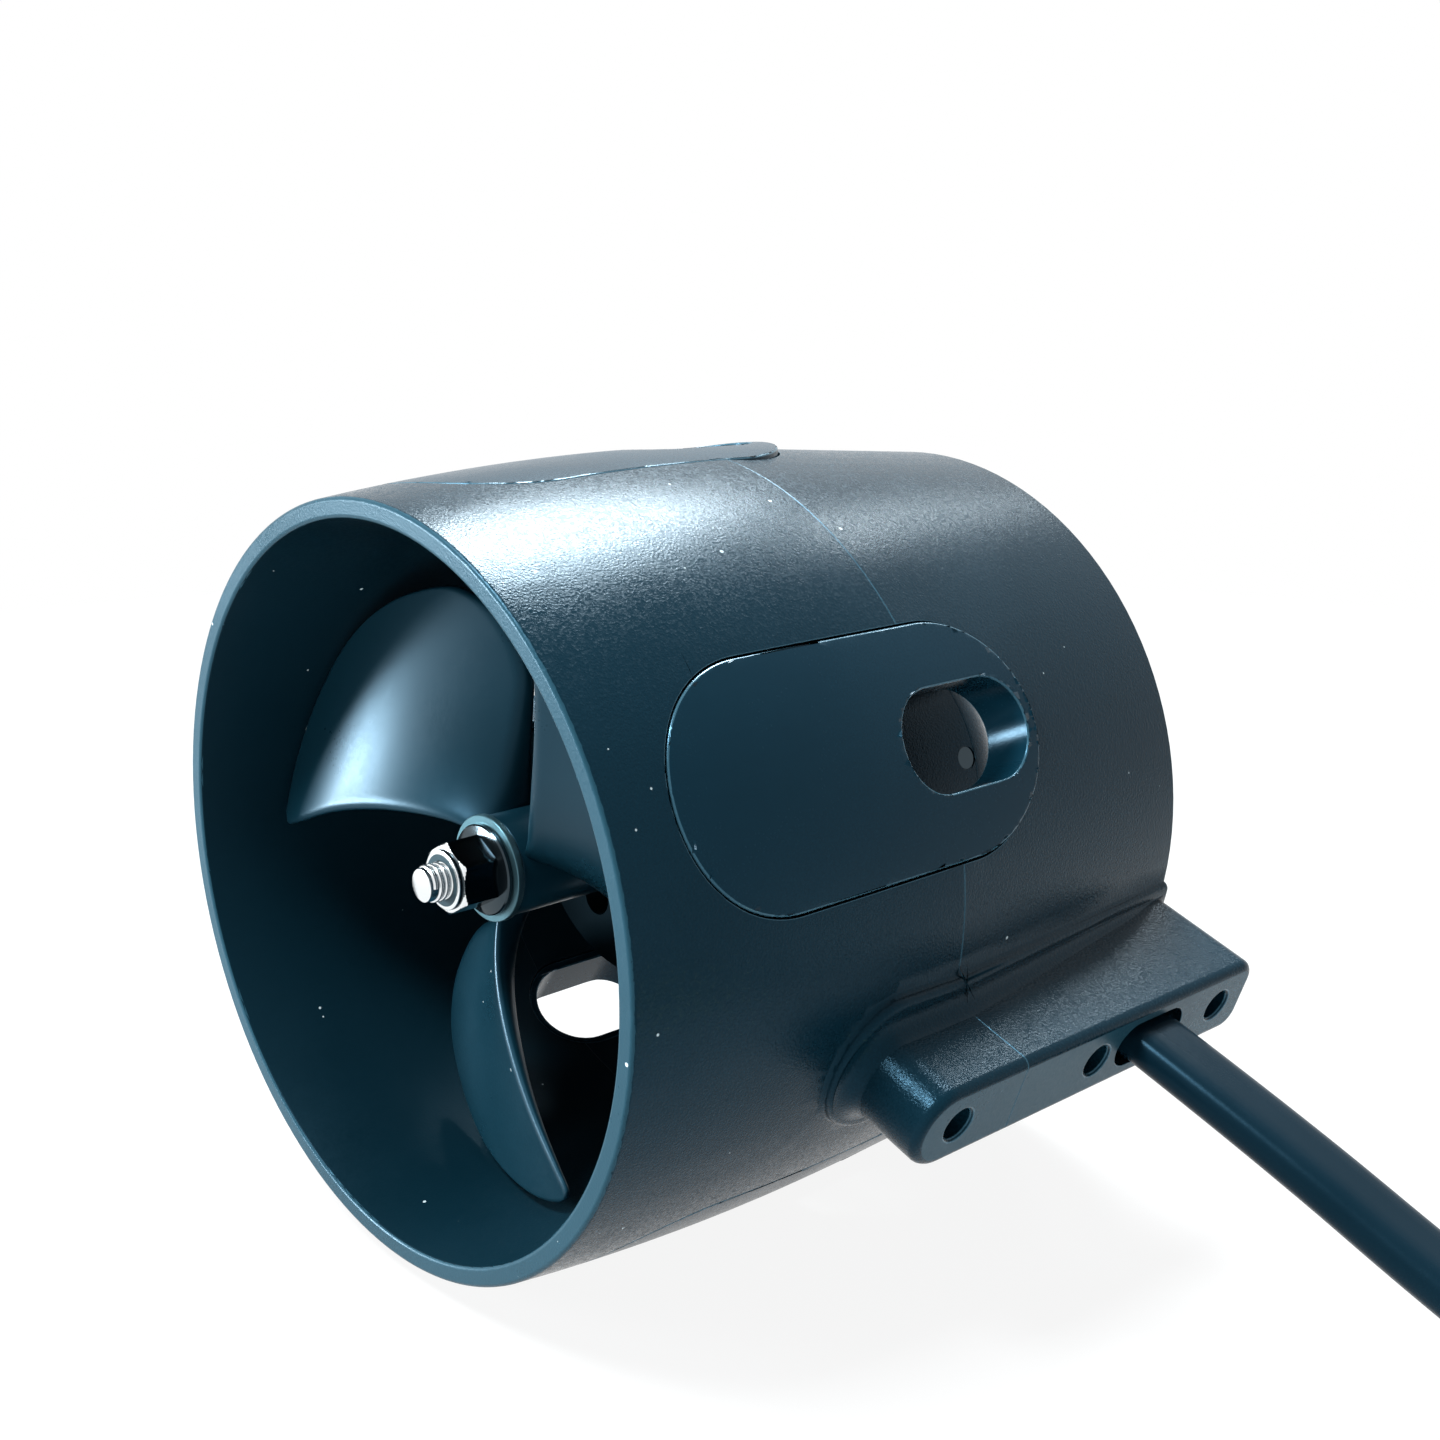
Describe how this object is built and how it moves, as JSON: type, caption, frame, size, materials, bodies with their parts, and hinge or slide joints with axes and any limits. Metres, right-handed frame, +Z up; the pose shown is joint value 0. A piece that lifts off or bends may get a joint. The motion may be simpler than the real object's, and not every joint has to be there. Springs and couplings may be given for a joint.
{
  "type": "underwater brushless motor",
  "caption": "Ducted underwater brushless motor: bladed rotor in a barrel nozzle with side windows, a drilled mounting foot and a flat three-core cable.",
  "frame": {"origin": "centre of the bottom of the motor's box, cable aside, with the duct lying on its belly", "axes": "+Y along the shaft from the intake to the outlet, +X towards the foot's side, +Z up"},
  "size_m": [0.358, 0.156, 0.122],
  "materials": {
    "shell": "dark anodised, fine satin",
    "cover": "dark gloss moulding",
    "blade": "polished dark moulding",
    "steel": "bright stainless steel",
    "washer_steel": "dull passivated steel",
    "nylon": "translucent white nylon",
    "rotor_can": "epoxy coated steel",
    "magnet": "nickel plate",
    "core": "varnished laminations",
    "copper": "enamelled copper wire",
    "base_metal": "hard anodised aluminium",
    "bush": "acetal",
    "cable": "smooth black sheath",
    "seal": "potting compound",
    "lead": "silicone sheath",
    "gold": "gold plate"
  },
  "bodies": {
    "housing": {"front_duct": "shell", "rear_duct": "shell", "cover_right": "cover", "cover_top": "cover", "cover_left": "cover", "cover_lower_left": "cover", "cover_bottom": "cover", "shell_screws": "steel", "motor_carrier": "shell", "motor_base": "base_metal", "motor_screws": "steel", "front_bush": "bush", "rear_bush": "bush", "stator_core": "core", "stator_coils": "copper", "tail_cone": "shell", "tail_screws": "steel", "phase_leads": "lead", "cable_seal": "seal", "cable": "cable", "cable_coil": "cable", "cable_sleeve": "seal", "tail_lead_a": "lead", "tail_lead_b": "lead", "tail_lead_c": "lead", "bullet_plug_a": "gold", "bullet_plug_b": "gold", "bullet_plug_c": "gold"},
    "rotor": {"rotor_bell": "rotor_can", "flux_ring": "rotor_can", "magnets": "magnet", "grub_screw": "steel", "shaft": "steel", "drive_pin": "steel", "thrust_washer": "bush", "shaft_clip": "steel", "prop_washer": "washer_steel", "lock_nut": "steel", "nut_insert": "nylon", "propeller": "blade"}
  },
  "joints": [
    {"name": "propeller_spin", "type": "hinge", "parent": "housing", "child": "rotor", "pos_m": [-0.00619, 0, 0.061], "axis": [0, -1, 0], "continuous": true}
  ]
}
